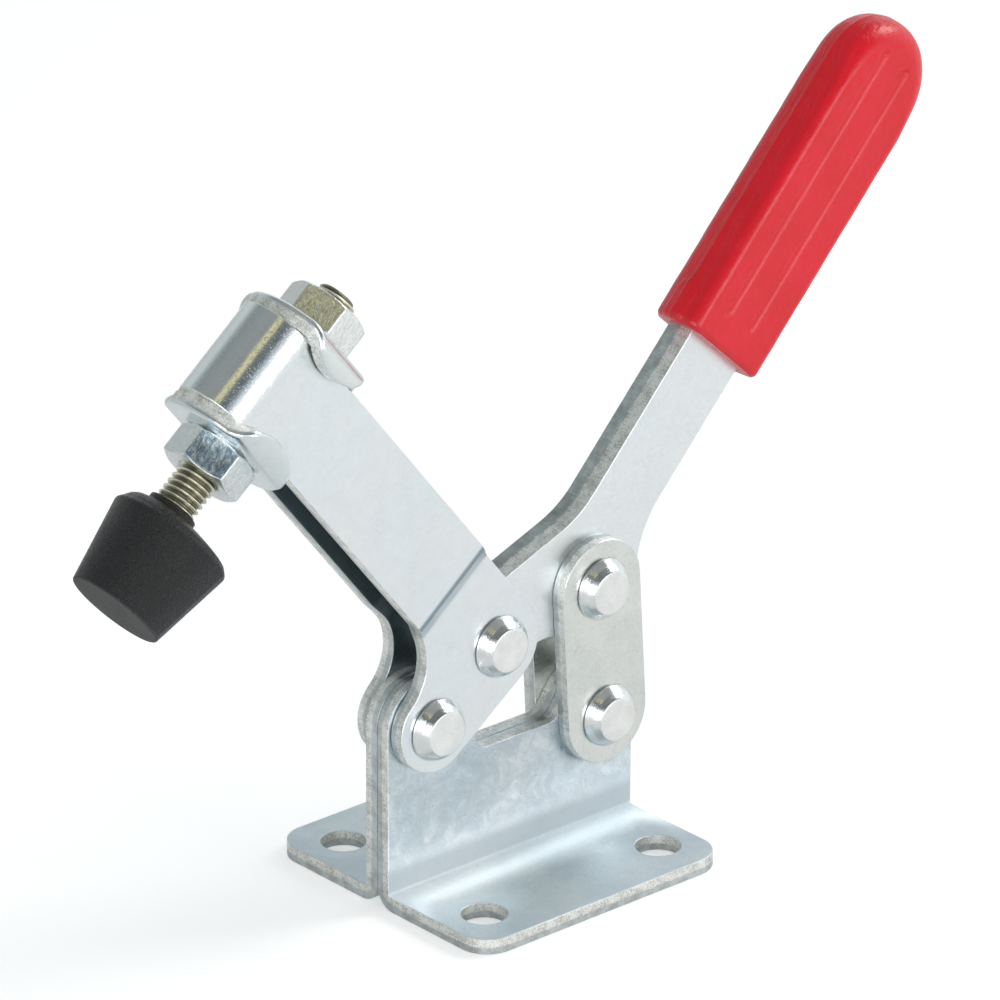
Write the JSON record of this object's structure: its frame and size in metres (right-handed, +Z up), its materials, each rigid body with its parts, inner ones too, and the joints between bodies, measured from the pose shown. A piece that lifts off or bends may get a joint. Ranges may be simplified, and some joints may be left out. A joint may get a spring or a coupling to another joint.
{
  "type": "toggle clamp",
  "caption": "Vertical-handle toggle clamp: flanged bolt-down base, four-bar linkage, U-shaped arm and a threaded spindle with a rubber tip.",
  "frame": {"origin": "centre of the four mounting holes, on the underside of the base", "axes": "+X to the rear, where the handle stands; the spindle hangs over -X; +Y to the clamp's right; +Z up from the mounting surface"},
  "size_m": [0.1947, 0.058, 0.1412],
  "materials": {
    "zinc_sheet": "bright blue zinc plate",
    "zinc_fastener": "zinc plated, polished heads",
    "zinc_spindle": "zinc plated thread",
    "black_rubber": "satin moulded rubber",
    "red_grip": "semi-gloss dipped plastic"
  },
  "bodies": {
    "base": {"base_plate_left": "zinc_sheet", "base_plate_right": "zinc_sheet", "front_pivot_rivet": "zinc_fastener", "rear_pivot_rivet": "zinc_fastener"},
    "arm": {"clamp_arm": "zinc_sheet", "arm_rivet": "zinc_fastener"},
    "handle": {"handle_lever": "zinc_sheet", "handle_grip": "red_grip"},
    "link": {"link_left": "zinc_sheet", "link_right": "zinc_sheet", "link_rivet": "zinc_fastener"},
    "carriage": {"upper_flanged_washer": "zinc_sheet", "lower_flanged_washer": "zinc_sheet", "upper_nut": "zinc_fastener", "lower_nut": "zinc_fastener"},
    "spindle_set": {"spindle": "zinc_spindle", "rubber_tip": "black_rubber"}
  },
  "joints": [
    {"name": "arm_pivot", "type": "hinge", "parent": "base", "child": "arm", "pos_m": [-0.0205, 0, 0.0344], "axis": [0, -1, 0], "range_deg": [-11.91, 52.81]},
    {"name": "handle_pivot", "type": "hinge", "parent": "arm", "child": "handle", "pos_m": [-0.00561, 0, 0.0462], "axis": [0, -1, 0], "range_deg": [-97.02, 21.9]},
    {"name": "link_pivot", "type": "hinge", "parent": "base", "child": "link", "pos_m": [0.0204, 0, 0.0246], "axis": [0, -1, 0], "range_deg": [-11.62, 51.47]},
    {"name": "carriage_slide", "type": "slide", "parent": "arm", "child": "carriage", "axis": [-0.6211, 0, 0.7837], "range_m": [-0.042, 0.006]},
    {"name": "spindle_screw", "type": "slide", "parent": "carriage", "child": "spindle_set", "axis": [0.7837, 0, 0.6211], "range_m": [-0.002, 0.006]}
  ],
  "couplings": [
    {"joint": "handle_pivot", "follows": "arm_pivot", "ratio": -1.8368},
    {"joint": "link_pivot", "follows": "arm_pivot", "ratio": 0.97437}
  ]
}
